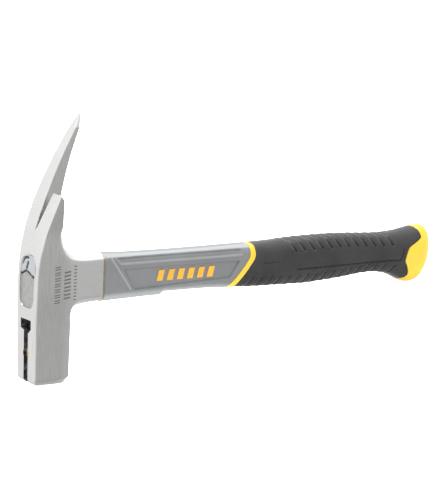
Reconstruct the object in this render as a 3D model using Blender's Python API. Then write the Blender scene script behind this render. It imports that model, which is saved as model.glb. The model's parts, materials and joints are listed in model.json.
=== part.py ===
"""Roofer's claw hammer: forged steel head on a fibreglass shaft with a moulded handle.

Hammer axes, used for every number below, in millimetres:
  +X runs along the handle from the head to the butt,
  +Z runs along the head from the striking face to the point of the spike,
  +Y is the side of the head that carries the spike, -Y the side of the short claw.
The origin is the centre of the striking face. One empty then leans the whole hammer
about Y until the face's rear edge and the butt stand on the same level.
"""

import math

import bmesh
import bpy

MM = 0.001
GAP = 0.3                       # clearance left between neighbouring pieces

# Head: poll and eye block
POLL_HALF = 12.5                # the poll is 25 mm square
CHEEK_HALF = 13.7               # half width at the swollen eye block
EDGE_CHAMFER = 0.9
REAR_CHAMFER = 1.5              # the poll's rear corners are rounded off further
FACE_INSET = 2.0                # bevel round the striking face, measured in plan
FACE_BEVEL_Z = 2.4
FACE_CORNER = 3.0
EYE_BLOCK_FRONT = -13.5
POLL_BACK = 12.5
CURVE_START_Z = 68.0            # the front strip is straight up to here ...
CURVE_GAIN = 0.00725            # ... and then sweeps back towards the handle
CURVE_POWER = 1.8216

# Head: spike, short claw and the V slot between them
SLOT_Z = 100.4                  # bottom of the V slot
SLOT_Y = -1.0
SPIKE_TOP = 175.6
POINT_Z = 166.5                 # the blunt four-sided point starts here
CLAW_TOP = 125.3                # middle of the claw's cutting edge
CLAW_BACK_DROP = 3.4            # its end slopes down to the back by this much

# Head: neck
NECK_END = 36.6
NECK_HALF = 12.4                # at its end; it is flush with the cheeks at the block
NECK_TOP = 84.6
NECK_TOP_HALF = 8.0
NECK_SIDE_TOP = 81.4
NECK_SIDE_BOTTOM = 55.0

# Nail starter in the front strip
GROOVE_Y = 0.2
GROOVE_HALF = 2.8
GROOVE_DEPTH = 3.6
HEAD_SEAT = [(7.2, 42.3), (7.2, 35.8), (3.0, 34.9), (-2.6, 33.4), (-6.4, 36.4),
             (-6.4, 42.3)]      # seat for the nail's head, corners in Y and Z
HEAD_SEAT_DEPTH = 5.0
MAGNET_Z = 19.6
MAGNET_HOLE_R = 3.6
MAGNET_R = 2.6
MAGNET_FLOOR = 8.2              # depth of the magnet's hole below the strip

# Shaft, jacket and grip
SHAFT_FRONT = -9.6
SHAFT_BACK = 299.5
RESIN_RECESS = 1.2              # the potting resin stops this far below the strip
JACKET_START = 38.2
BEAD_HALF = 12.1                # the resin bead stands flush with the neck's end
BEAD_BOTTOM = 52.0
BEAD_TOP = 83.0
BEAD_POWER = 4.2
STEP_X = 83.6                   # the underside of the jacket steps up here ...
STEP_UP = 2.0                   # ... by this much
BUTT_END = 310.6
BUTT_GAP = 0.9                  # clearance along the butt cap's wavy front edge

SECTION_POINTS = 32

COLOURS = {
    "steel": (0.60, 0.60, 0.60, 1.0),
    "magnet": (0.12, 0.12, 0.13, 1.0),
    "resin_amber": (0.48, 0.33, 0.08, 1.0),
    "resin_grey": (0.30, 0.30, 0.29, 1.0),
    "fibreglass": (0.55, 0.55, 0.40, 1.0),
    "jacket_grey": (0.23, 0.24, 0.25, 1.0),
    "yellow": (0.92, 0.58, 0.03, 1.0),
    "rubber_black": (0.045, 0.045, 0.047, 1.0),
}
FINISH = {                      # metallic, roughness
    "steel": (1.0, 0.30),
    "magnet": (1.0, 0.40),
    "resin_amber": (0.0, 0.25),
    "resin_grey": (0.0, 0.35),
    "fibreglass": (0.0, 0.55),
    "jacket_grey": (0.0, 0.42),
    "yellow": (0.0, 0.40),
    "rubber_black": (0.0, 0.65),
}


# ---------------------------------------------------------------- helpers

def along(stations, x):
    """Value at x on straight lines between (x, value) stations."""
    if x <= stations[0][0]:
        return stations[0][1]
    for (x0, v0), (x1, v1) in zip(stations, stations[1:]):
        if x <= x1:
            s = (x - x0) / (x1 - x0)
            return v0 + (v1 - v0) * s
    return stations[-1][1]


def material(name):
    mat = bpy.data.materials.get(name)
    if mat:
        return mat
    mat = bpy.data.materials.new(name)
    mat.use_nodes = True
    shader = mat.node_tree.nodes["Principled BSDF"]
    metallic, roughness = FINISH[name]
    shader.inputs["Base Color"].default_value = COLOURS[name]
    shader.inputs["Metallic"].default_value = metallic
    shader.inputs["Roughness"].default_value = roughness
    mat.diffuse_color = COLOURS[name]
    return mat


def add_object(name, bm, mat_name, smooth_angle=35.0):
    """Turn a bmesh drawn in millimetres into an object in metres."""
    bmesh.ops.recalc_face_normals(bm, faces=bm.faces)
    bmesh.ops.scale(bm, vec=(MM, MM, MM), verts=bm.verts)
    mesh = bpy.data.meshes.new(name)
    bm.to_mesh(mesh)
    bm.free()
    mesh.shade_smooth()
    mesh.set_sharp_from_angle(angle=math.radians(smooth_angle))
    obj = bpy.data.objects.new(name, mesh)
    bpy.context.collection.objects.link(obj)
    if mat_name:
        mesh.materials.append(material(mat_name))
    return obj


def as_cutter(obj):
    obj.display_type = 'WIRE'
    obj.hide_render = True
    return obj


def boolean(obj, other, operation):
    mod = obj.modifiers.new(operation.lower(), 'BOOLEAN')
    mod.operation = operation
    mod.object = other


def bridge(bm, ring_a, ring_b):
    """Side faces between two rings with the same number of points."""
    n = len(ring_a)
    for i in range(n):
        j = (i + 1) % n
        bm.faces.new((ring_a[i], ring_a[j], ring_b[j], ring_b[i]))


def end_face(bm, outer, inner):
    """End of a sleeve, always split along the same diagonals as its neighbour's."""
    n = len(outer)
    for i in range(n):
        j = (i + 1) % n
        bm.faces.new((outer[i], outer[j], inner[j]))
        bm.faces.new((outer[i], inner[j], inner[i]))


def loft(name, rings, mat_name, cutter=False):
    """Closed solid through rings of 3D points, capped flat at both ends."""
    bm = bmesh.new()
    loops = [[bm.verts.new(p) for p in ring] for ring in rings]
    for a, b in zip(loops, loops[1:]):
        bridge(bm, a, b)
    bm.faces.new(list(reversed(loops[0])))
    bm.faces.new(loops[-1])
    obj = add_object(name, bm, mat_name)
    return as_cutter(obj) if cutter else obj


def oval(half_width, bottom, top, power, count=SECTION_POINTS):
    """Superellipse in Y and Z, starting at the top and symmetric in Y."""
    middle, half_height = (top + bottom) / 2, (top - bottom) / 2
    points = []
    for i in range(count):
        a = 2 * math.pi * i / count
        s, c = math.sin(a), math.cos(a)
        y = half_width * math.copysign(abs(s) ** (2 / power), s)
        z = middle + half_height * math.copysign(abs(c) ** (2 / power), c)
        points.append((y, z))
    return points


# ---------------------------------------------------------------- the head

def strip_x(z):
    """X of the head's front strip at height z."""
    poll = along([(0, -POLL_HALF), (30, -POLL_HALF - 0.5), (50, EYE_BLOCK_FRONT)], z)
    return poll + CURVE_GAIN * max(0.0, z - CURVE_START_Z) ** CURVE_POWER


def block_ring(z):
    """Section of the poll and eye block at height z, with the slot's two points."""
    half = along([(0, POLL_HALF), (36, POLL_HALF), (54, CHEEK_HALF), (84, CHEEK_HALF),
                  (SLOT_Z, 13.5)], z)
    back = along([(0, POLL_BACK), (45, POLL_BACK), (55, 13.0), (80, 13.0), (86, 10.8),
                  (89.5, 7.6), (94, 5.8), (SLOT_Z, 5.0)], z)
    front = strip_x(z)
    far_back = back + along([(86, 0.0), (SLOT_Z, 2.2)], z)
    near_front = front + along([(76, 0.0), (SLOT_Z, 2.2)], z)
    c = EDGE_CHAMFER
    r = along([(0, REAR_CHAMFER), (47, REAR_CHAMFER), (54, c)], z)
    return [(back + 0.6 * (far_back - back), SLOT_Y), (far_back, half - r),
            (far_back - r, half), (front + c, half), (front, half - c),
            (front + 0.2 * (near_front - front), SLOT_Y), (near_front, -half + c),
            (near_front + c, -half), (back - r, -half), (back, -half + r)]


def face_ring():
    """Outline of the striking face, inside its bevel."""
    h, c = POLL_HALF - FACE_INSET, FACE_CORNER
    return [(h, SLOT_Y), (h, h - c), (h - c, h), (-h + c, h), (-h, h - c),
            (-h, SLOT_Y), (-h, -h + c), (-h + c, -h), (h - c, -h), (h, -h + c)]


def spike_ring(z):
    front = strip_x(z)
    depth = along([(SLOT_Z, 15.6), (124, 11.7), (136, 9.5), (151, 6.7), (POINT_Z, 3.7),
                   (SPIKE_TOP, 0.8)], z)
    outer = along([(SLOT_Z, 13.5), (120, 12.3), (128, 11.5), (138, 10.2), (145, 9.2),
                   (156, 7.9), (162, 7.0), (POINT_Z, 6.3), (171, 5.2),
                   (SPIKE_TOP, 2.7)], z)
    inner = along([(SLOT_Z, SLOT_Y), (124, -1.8), (138, -1.8), (POINT_Z, -1.5),
                   (SPIKE_TOP, 1.6)], z)
    c = min(EDGE_CHAMFER, 0.18 * depth)
    back = front + depth
    return [(back, inner), (back, outer - c), (back - c, outer), (front + c, outer),
            (front, outer - c), (front, inner)]


def claw_ring(s):
    """Section of the short claw, s from 0 at the slot's bottom to 1 at its edge."""
    def mix(a, b):
        return tuple(p + (q - p) * s for p, q in zip(a, b))
    low = block_ring(SLOT_Z)
    front_in, front_out, side_front, side_back, back_out = low[5:10]
    back_in = low[0]
    ring = [mix(front_in, (-1.2, -9.3)), mix(front_out, (0.9, -16.0)),
            mix(side_front, (1.5, -16.7)), mix(side_back, (3.4, -16.7)),
            mix(back_out, (3.9, -15.9)), mix(back_in, (4.4, -9.3))]
    drops = (0.0, 0.0, 0.6, 2.9, CLAW_BACK_DROP, CLAW_BACK_DROP)
    return [(x, y, SLOT_Z + (CLAW_TOP + 0.18 * (y + 12.9) - drop - SLOT_Z) * s)
            for (x, y), drop in zip(ring, drops)]


def make_head():
    bm = bmesh.new()
    levels = [FACE_BEVEL_Z, 36, 45, 54, 68, 76, 82, 86, 89.5, 94, SLOT_Z]
    loops = [[bm.verts.new((x, y, 0.0)) for x, y in face_ring()]]
    loops += [[bm.verts.new((x, y, z)) for x, y in block_ring(z)] for z in levels]
    bm.faces.new(list(reversed(loops[0])))
    for a, b in zip(loops, loops[1:]):
        bridge(bm, a, b)
    top = loops[-1]

    loop = top[0:6]
    for z in (112, 124, 136, 148, 158, POINT_Z, 171, SPIKE_TOP):
        new = [bm.verts.new((x, y, z)) for x, y in spike_ring(z)]
        bridge(bm, loop, new)
        loop = new
    bm.faces.new(loop)

    loop = top[5:10] + top[0:1]
    for s in (0.5, 1.0):
        new = [bm.verts.new(p) for p in claw_ring(s)]
        bridge(bm, loop, new)
        loop = new
    bm.faces.new(loop)
    head = add_object("head", bm, "steel")

    def neck_ring(x):
        bottom = along([(4, 47.0), (12.6, 47.0), (15.5, 48.9), (20, 50.4), (27, 51.3),
                        (NECK_END, 51.8)], x)
        low_half = 8.6
        side = along([(4, 12.6), (9, 13.4), (12.8, 13.7), (20, 13.2),
                      (NECK_END, NECK_HALF)], x)
        return [(x, NECK_TOP_HALF, NECK_TOP), (x, side, NECK_SIDE_TOP),
                (x, side, min(NECK_SIDE_BOTTOM, bottom + 3.2)), (x, low_half, bottom),
                (x, -low_half, bottom), (x, -side, min(NECK_SIDE_BOTTOM, bottom + 3.2)),
                (x, -side, NECK_SIDE_TOP), (x, -NECK_TOP_HALF, NECK_TOP)]

    neck = loft("neck_form", [neck_ring(x) for x in (4, 9, 12.8, 15.5, 20, 27, NECK_END)],
                None, cutter=True)
    boolean(head, neck, 'UNION')

    def eye_ring(x):
        half = along([(-16, 9.6), (-8, 9.2), (2, 8.6)], x)
        low = along([(-16, 49.2), (-8, 52.4), (2, 55.5)], x)
        high = along([(-16, 83.6), (-8, 81.2), (2, 79.0)], x)
        return [(x, y, z) for y, z in oval(half, low, high, 5.0, 24)]

    eye = loft("eye_form", [eye_ring(x) for x in (-16, -8, 2, 40)], None, cutter=True)
    boolean(head, eye, 'DIFFERENCE')

    left, right = GROOVE_Y + GROOVE_HALF, GROOVE_Y - GROOVE_HALF
    strip = -POLL_HALF - 0.5
    seat_form = loft("seat_form", [[(x, y, z) for y, z in HEAD_SEAT]
                                   for x in (strip - 4, strip + HEAD_SEAT_DEPTH)],
                     None, cutter=True)
    boolean(head, seat_form, 'DIFFERENCE')

    groove = [(strip - 4, left), (strip + GROOVE_DEPTH - 1.2, left),
              (strip + GROOVE_DEPTH, GROOVE_Y), (strip + GROOVE_DEPTH - 1.2, right),
              (strip - 4, right)]
    groove_form = loft("groove_form", [[(x, y, z) for x, y in groove]
                                       for z in (-3.0, 36.0)],
                       None, cutter=True)
    boolean(head, groove_form, 'DIFFERENCE')

    hole_form = loft("magnet_form",
                     [round_ring(x, MAGNET_HOLE_R, 20)
                      for x in (strip - 4, strip + MAGNET_FLOOR)], None, cutter=True)
    boolean(head, hole_form, 'DIFFERENCE')
    return [head, neck, eye, seat_form, groove_form, hole_form]


def round_ring(x, radius, count):
    return [(x, GROOVE_Y + radius * math.sin(2 * math.pi * i / count),
             MAGNET_Z + radius * math.cos(2 * math.pi * i / count))
            for i in range(count)]


def make_magnet():
    """Pin magnet and the ring of resin that glues it into the groove's floor."""
    strip = -POLL_HALF - 0.5
    floor = strip + MAGNET_FLOOR - GAP
    top = strip + GROOVE_DEPTH + 0.4
    magnet = loft("nail_magnet", [round_ring(x, MAGNET_R, 20) for x in (top, floor)],
                  "magnet")
    outer, inner = MAGNET_HOLE_R - 0.2, MAGNET_R + 0.2
    bm = bmesh.new()
    loops = [[bm.verts.new(p) for p in round_ring(x, r, 20)]
             for x, r in ((top + 0.9, outer), (floor, outer), (floor, inner),
                          (top + 0.9, inner))]
    for a, b in zip(loops, loops[1:] + loops[:1]):
        bridge(bm, a, b)
    resin = add_object("magnet_resin", bm, "resin_amber")
    return [magnet, resin]


# ---------------------------------------------------------------- the shaft

def shaft_size(x):
    half = along([(0, 8.2), (40, 8.2), (60, 7.8), (250, 7.2), (300, 7.0)], x)
    low = along([(0, 55.9), (40, 55.9), (60, 57.6), (150, 59.2), (250, 60.2)], x)
    high = along([(0, 78.6), (40, 78.6), (60, 77.4), (250, 76.8)], x)
    return half, low, high


def shaft_ring(x, grow=0.0):
    half, low, high = shaft_size(x)
    return oval(half + grow, low - grow, high + grow, 4.5)


def make_shaft():
    stations = (SHAFT_FRONT, 40, 60, 150, 250, SHAFT_BACK)
    shaft = loft("shaft", [[(x, y, z) for y, z in shaft_ring(x)] for x in stations],
                 "fibreglass")
    # potting resin over the shaft's end, a little below the strip
    face = [(strip_x(z) + RESIN_RECESS, y, z) for y, z in oval(9.1, 51.1, 82.1, 5.0, 24)]
    back = [(SHAFT_FRONT - GAP, y, z) for y, z in oval(8.95, 52.0, 81.4, 5.0, 24)]
    plug = loft("eye_resin", [face, back], "resin_grey")
    return [shaft, plug]


# ---------------------------------------------------------------- the handle

def collar_front_x(z):
    """Edge between the jacket and the collar at height z: slanted, then upright."""
    return along([(52, 134.2), (56, 136.9), (60, 140.3), (66, 145.2), (72, 149.9),
                  (75, 151.8), (77, 152.4), (80, 153.0), (82, 153.6), (84, 155.0)], z)


def collar_back_x(z):
    """Edge between the collar and the grip at height z."""
    return along([(52, 140.6), (56, 142.7), (58, 143.9), (64, 148.6), (68, 151.7),
                  (74, 155.8), (76, 156.5), (80, 157.0), (82, 157.5), (84, 158.4)], z)


def butt_line_x(z):
    """Wavy line where the rubber meets the butt cap, at height z."""
    return along([(47, 284.0), (49, 284.8), (51, 286.9), (53, 287.8), (55, 287.4),
                  (60, 285.3), (64, 283.5), (68, 284.4), (73, 286.6), (75, 289.6),
                  (77, 293.7), (79, 296.9), (80.5, 298.5), (84, 298.3), (88, 296.0)], z)


def handle_size(x):
    """Half width, bottom, top and squareness of the handle's outer section at x."""
    half = along([(38, 12.1), (70, 11.7), (120, 11.6), (150, 12.2), (172, 13.6),
                  (205, 13.6), (250, 12.6), (270, 13.2), (290, 15.0), (296.6, 15.0),
                  (300, 14.6), (304.5, 12.4), (308, 8.9), (309.8, 5.2),
                  (BUTT_END, 2.4)], x)
    bottom = along([(38, 51.5), (STEP_X - 1.5, 52.4), (STEP_X + 1.5, 52.4 + STEP_UP),
                    (120, 54.2), (139, 53.2), (148, 52.9), (160, 52.2), (172, 52.0),
                    (202, 51.5), (214, 52.1), (231, 53.2), (249, 55.0), (260, 55.5),
                    (272, 54.0), (283, 49.8), (288, 47.4), (293, 46.4), (298, 47.1),
                    (303, 51.2), (306.5, 56.0), (309.8, 63.5), (BUTT_END, 69.0)], x)
    top = along([(38, 82.9), (52, 82.0), (64, 81.7), (90, 81.6), (125, 81.9), (150, 82.5),
                 (172, 83.1), (200, 84.5), (225, 84.8), (241, 84.3), (257, 83.5),
                 (267, 83.1), (280, 83.6), (294, 85.6), (300, 86.9), (304.5, 87.0),
                 (308, 85.0), (309.8, 81.8), (BUTT_END, 77.5)], x)
    power = along([(38, 4.2), (120, 3.6), (170, 2.6), (290, 2.4), (BUTT_END, 2.1)], x)
    return half, bottom, top, power


def swept_ring(section, start, end, s):
    """Ring at fraction s between two edges whose X depends on height."""
    ring = []
    for i in range(SECTION_POINTS):
        x = start(68.0) + (end(68.0) - start(68.0)) * s
        for _ in range(40):
            y, z = section(x)[i]
            x = 0.6 * x + 0.4 * (start(z) + (end(z) - start(z)) * s)
        ring.append((x, y, z))
    return ring


def outer_section(x):
    return oval(*handle_size(x))


def bore_section(x):
    return shaft_ring(x, GAP)


def tube(name, start, end, fractions, mat_name):
    """Moulded sleeve round the shaft between two shaped edges."""
    bm = bmesh.new()
    outer = [[bm.verts.new(p) for p in swept_ring(outer_section, start, end, s)]
             for s in fractions]
    inner = [[bm.verts.new(p) for p in swept_ring(bore_section, start, end, s)]
             for s in (0.0, 0.5, 1.0)]
    for a, b in zip(outer, outer[1:]):
        bridge(bm, a, b)
    for a, b in zip(inner, inner[1:]):
        bridge(bm, a, b)
    end_face(bm, outer[0], inner[0])
    end_face(bm, outer[-1], inner[-1])
    return add_object(name, bm, mat_name)


def make_butt_cap():
    """Hard cap that closes the handle's end over the shaft."""
    def start(z):
        return butt_line_x(z) + BUTT_GAP / 2

    def end(z):
        return BUTT_END

    bm = bmesh.new()
    fractions = (0.0, 0.2, 0.4, 0.55, 0.7, 0.82, 0.92, 0.97, 1.0)
    outer = [[bm.verts.new(p) for p in swept_ring(outer_section, start, end, s)]
             for s in fractions]
    for a, b in zip(outer, outer[1:]):
        bridge(bm, a, b)
    bm.faces.new(outer[-1])
    floor = SHAFT_BACK + 1.0
    inner = [[bm.verts.new(p) for p in swept_ring(bore_section, start,
                                                  lambda z: floor, s)]
             for s in (0.0, 1.0)]
    end_face(bm, outer[0], inner[0])
    bridge(bm, inner[1], inner[0])
    bm.faces.new(list(reversed(inner[1])))
    return add_object("butt_cap", bm, "yellow")


def make_handle():
    pieces = []
    bead_in, bead_out = NECK_END + GAP, JACKET_START - GAP
    bm = bmesh.new()
    rings = [[(x, y, z) for y, z in oval(BEAD_HALF, BEAD_BOTTOM, BEAD_TOP, BEAD_POWER)]
             for x in (bead_in, bead_out)]
    rings += [[(x, y, z) for y, z in shaft_ring(x, GAP)] for x in (bead_out, bead_in)]
    loops = [[bm.verts.new(p) for p in ring] for ring in rings]
    for a, b in zip(loops, loops[1:] + loops[:1]):
        bridge(bm, a, b)
    pieces.append(add_object("shoulder_bead", bm, "resin_amber"))

    jacket = tube("jacket", lambda z: JACKET_START, collar_front_x,
                  (0.0, 0.12, 0.25, 0.38, 0.465, 0.49, 0.515, 0.6, 0.8, 1.0), "jacket_grey")
    pieces.append(jacket)

    pieces.append(tube("grip_collar", lambda z: collar_front_x(z) + GAP, collar_back_x,
                       (0.0, 0.5, 1.0), "yellow"))
    pieces.append(tube("grip_sleeve", lambda z: collar_back_x(z) + GAP,
                       lambda z: butt_line_x(z) - BUTT_GAP / 2,
                       [i / 16 for i in range(17)], "rubber_black"))
    pieces.append(make_butt_cap())
    return pieces


# ---------------------------------------------------------------- stance

def stance_angle():
    """Lean at which the butt touches the level of the striking face's rear edge."""
    edge = POLL_HALF - FACE_INSET
    stations = [270 + i * 0.25 for i in range(int((BUTT_END - 270) / 0.25) + 1)]
    return min(math.atan2(handle_size(x)[1], x - edge) for x in stations)


def main():
    for obj in list(bpy.data.objects):
        bpy.data.objects.remove(obj, do_unlink=True)
    stance = bpy.data.objects.new("stance", None)
    bpy.context.collection.objects.link(stance)
    pieces = make_head() + make_magnet() + make_shaft() + make_handle()
    for obj in pieces:
        obj.parent = stance
    stance.rotation_euler = (0.0, stance_angle(), 0.0)


main()
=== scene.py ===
"""Roofer's claw hammer: fine surfaces, materials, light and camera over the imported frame.

Shapes are drawn in the hammer's own axes in millimetres (+X along the handle, +Z along
the head towards the spike, origin at the centre of the striking face) and then leaned
and scaled into the frame's axes, so every mesh ends up in the frame's coordinates.
"""

import json
import math

import bmesh
import bpy
import numpy as np
from mathutils import Matrix, Vector
from mathutils.bvhtree import BVHTree


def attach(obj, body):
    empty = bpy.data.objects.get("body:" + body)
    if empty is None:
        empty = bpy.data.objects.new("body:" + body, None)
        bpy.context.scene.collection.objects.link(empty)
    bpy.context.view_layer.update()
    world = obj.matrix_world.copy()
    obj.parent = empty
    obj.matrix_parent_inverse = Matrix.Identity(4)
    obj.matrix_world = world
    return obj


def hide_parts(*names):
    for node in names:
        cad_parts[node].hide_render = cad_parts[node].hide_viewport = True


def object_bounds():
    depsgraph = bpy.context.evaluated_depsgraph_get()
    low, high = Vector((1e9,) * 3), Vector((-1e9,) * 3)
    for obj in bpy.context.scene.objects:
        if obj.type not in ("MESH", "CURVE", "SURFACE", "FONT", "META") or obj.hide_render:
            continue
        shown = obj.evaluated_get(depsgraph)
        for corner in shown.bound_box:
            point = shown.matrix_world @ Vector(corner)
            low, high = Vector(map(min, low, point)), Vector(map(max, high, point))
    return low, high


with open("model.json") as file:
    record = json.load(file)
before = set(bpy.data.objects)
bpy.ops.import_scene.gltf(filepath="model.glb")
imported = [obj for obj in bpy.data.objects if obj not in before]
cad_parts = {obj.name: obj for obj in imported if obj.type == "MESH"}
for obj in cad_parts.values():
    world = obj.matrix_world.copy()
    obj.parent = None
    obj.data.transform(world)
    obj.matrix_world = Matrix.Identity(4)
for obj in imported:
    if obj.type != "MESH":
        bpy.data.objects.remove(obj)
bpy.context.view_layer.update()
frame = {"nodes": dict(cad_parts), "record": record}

MM = 0.001
BODY = "root"


def lean_angle():
    """Angle about Y between the hammer's own axes and the frame's."""
    face = next(m for m in frame["record"]["mounts"] if m["name"] == "striking_face")
    return math.atan2(-face["axis"][0], -face["axis"][2])


LEAN = lean_angle()
PLACE = Matrix.Rotation(LEAN, 4, "Y") @ Matrix.Scale(MM, 4)


# ------------------------------------------------------------------ curves

def smooth_curve(stations):
    """Monotone cubic through (x, value) stations, for numbers or arrays."""
    xs, ys = (np.array(c, float) for c in zip(*stations))
    h, d = np.diff(xs), np.diff(ys) / np.diff(xs)
    m = np.zeros_like(xs)
    m[0], m[-1] = d[0], d[-1]
    for i in range(1, len(xs) - 1):
        if d[i - 1] * d[i] > 0:
            w1, w2 = 2 * h[i] + h[i - 1], h[i] + 2 * h[i - 1]
            m[i] = (w1 + w2) / (w1 / d[i - 1] + w2 / d[i])

    def value(x):
        x = np.clip(np.asarray(x, float), xs[0], xs[-1])
        i = np.clip(np.searchsorted(xs, x, side="right") - 1, 0, len(h) - 1)
        t = (x - xs[i]) / h[i]
        return (ys[i] * (1 + 2 * t) * (1 - t) ** 2 + m[i] * h[i] * t * (1 - t) ** 2
                + ys[i + 1] * t * t * (3 - 2 * t) + m[i + 1] * h[i] * t * t * (t - 1))
    return value


def smoothstep(x, low, high):
    t = np.clip((np.asarray(x, float) - low) / (high - low), 0.0, 1.0)
    return t * t * (3 - 2 * t)


def line_distance(px, pz, a, b):
    """Distance in a plane from points to the segment a-b, and the place along it."""
    dx, dz = b[0] - a[0], b[1] - a[1]
    t = np.clip(((px - a[0]) * dx + (pz - a[1]) * dz) / (dx * dx + dz * dz), 0.0, 1.0)
    return np.hypot(px - a[0] - t * dx, pz - a[1] - t * dz), t


def inside_depth(px, pz, polygon):
    """Signed distance to a convex polygon's edges, positive inside."""
    best = np.full(np.shape(px), 1e9)
    centre = np.mean(polygon, axis=0)
    for a, b in zip(polygon, polygon[1:] + polygon[:1]):
        dx, dz = b[0] - a[0], b[1] - a[1]
        length = math.hypot(dx, dz)
        side = (dx * (pz - a[1]) - dz * (px - a[0])) / length
        if dx * (centre[1] - a[1]) - dz * (centre[0] - a[0]) < 0:
            side = -side
        best = np.minimum(best, side)
    return best


# ------------------------------------------------------------------ meshes

def add_mesh(name, verts, faces, material, sharp=40.0, shades=None):
    """Mesh object from millimetre coordinates in the hammer's axes."""
    mesh = bpy.data.meshes.new(name)
    mesh.from_pydata([tuple(v) for v in np.asarray(verts, float)], [], faces)
    if shades is not None:
        layer = mesh.color_attributes.new("shade", "FLOAT_COLOR", "POINT")
        data = np.repeat(np.asarray(shades, float)[:, None], 4, axis=1)
        data[:, 3] = 1.0
        layer.data.foreach_set("color", data.ravel())
    mesh.transform(PLACE)
    mesh.update()
    bm = bmesh.new()
    bm.from_mesh(mesh)
    bmesh.ops.recalc_face_normals(bm, faces=bm.faces)
    bm.to_mesh(mesh)
    bm.free()
    mesh.shade_smooth()
    mesh.set_sharp_from_angle(angle=math.radians(sharp))
    obj = bpy.data.objects.new(name, mesh)
    bpy.context.scene.collection.objects.link(obj)
    if material:
        mesh.materials.append(material)
    return obj


def grid_faces(rows, columns, closed=False):
    """Quads of a tube of rows x columns points; closed joins its last row to its first."""
    faces = []
    for r in range(rows if closed else rows - 1):
        a, b = r * columns, ((r + 1) % rows) * columns
        for c in range(columns):
            d = (c + 1) % columns
            faces.append((a + c, a + d, b + d, b + c))
    return faces


def apply_modifiers(obj):
    graph = bpy.context.evaluated_depsgraph_get()
    mesh = bpy.data.meshes.new_from_object(obj.evaluated_get(graph))
    obj.modifiers.clear()
    obj.data = mesh


def cut(obj, cutters):
    """Subtracts the cutters from obj and removes them."""
    for cutter in cutters:
        mod = obj.modifiers.new("cut", "BOOLEAN")
        mod.operation, mod.solver, mod.object = "DIFFERENCE", "EXACT", cutter
        mod.material_mode = "TRANSFER"
        apply_modifiers(obj)
        bpy.data.objects.remove(cutter, do_unlink=True)


def prism(name, outline, axis, low, high, material=None):
    """Closed prism: outline in the two axes other than axis, from low to high."""
    def point(p, depth):
        q = list(p)
        q.insert(axis, depth)
        return q
    n = len(outline)
    verts = [point(p, low) for p in outline] + [point(p, high) for p in outline]
    faces = [tuple(range(n)), tuple(range(2 * n - 1, n - 1, -1))]
    faces += [(i, (i + 1) % n, n + (i + 1) % n, n + i) for i in range(n)]
    return add_mesh(name, verts, faces, material)


def oval_points(half, low, high, power, count):
    """Superellipse in Y and Z at even angles, from the top round through +Y."""
    a = np.arange(count) * 2 * math.pi / count
    s, c = np.sin(a), np.cos(a)
    r = (np.abs(s) ** power + np.abs(c) ** power) ** (-1 / power)
    return half * r * s, (low + high) / 2 + (high - low) / 2 * r * c


# ------------------------------------------------------------------ materials

def new_material(name):
    mat = bpy.data.materials.new(name)
    mat.use_nodes = True
    nodes, links = mat.node_tree.nodes, mat.node_tree.links
    return mat, nodes, links, nodes["Principled BSDF"]


def hammer_axes(nodes, links, scale=(1, 1, 1)):
    """Texture coordinates in the hammer's own axes, scaled."""
    coords = nodes.new("ShaderNodeTexCoord")
    turn = nodes.new("ShaderNodeMapping")
    turn.inputs["Rotation"].default_value = (0, -LEAN, 0)
    stretch = nodes.new("ShaderNodeMapping")
    stretch.inputs["Scale"].default_value = scale
    links.new(coords.outputs["Object"], turn.inputs["Vector"])
    links.new(turn.outputs["Vector"], stretch.inputs["Vector"])
    return stretch.outputs["Vector"]


def noise(nodes, links, vector, scale, detail=3.0, rough=0.55):
    node = nodes.new("ShaderNodeTexNoise")
    node.inputs["Scale"].default_value = scale
    node.inputs["Detail"].default_value = detail
    node.inputs["Roughness"].default_value = rough
    links.new(vector, node.inputs["Vector"])
    return node.outputs["Fac"]


def spread(nodes, links, value, low, high, out_low=0.0, out_high=1.0):
    node = nodes.new("ShaderNodeMapRange")
    for socket, v in (("From Min", low), ("From Max", high), ("To Min", out_low),
                      ("To Max", out_high)):
        node.inputs[socket].default_value = v
    links.new(value, node.inputs["Value"])
    return node.outputs["Result"]


def mix_colour(nodes, links, factor, a, b):
    node = nodes.new("ShaderNodeMix")
    node.data_type = "RGBA"
    for socket, value in ((6, a), (7, b)):
        if isinstance(value, tuple):
            node.inputs[socket].default_value = (*value, 1.0)
        else:
            links.new(value, node.inputs[socket])
    links.new(factor, node.inputs[0])
    return node.outputs[2]


def mix_value(nodes, links, factor, a, b):
    node = nodes.new("ShaderNodeMix")
    for socket, value in ((0, factor), (2, a), (3, b)):
        links.new(value, node.inputs[socket])
    return node.outputs[0]


def add_bump(nodes, links, shader, height, distance, strength):
    node = nodes.new("ShaderNodeBump")
    node.inputs["Strength"].default_value = strength
    node.inputs["Distance"].default_value = distance
    links.new(height, node.inputs["Height"])
    links.new(node.outputs["Normal"], shader.inputs["Normal"])


def shade_attribute(nodes):
    node = nodes.new("ShaderNodeAttribute")
    node.attribute_name = "shade"
    return node.outputs["Fac"]


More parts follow.
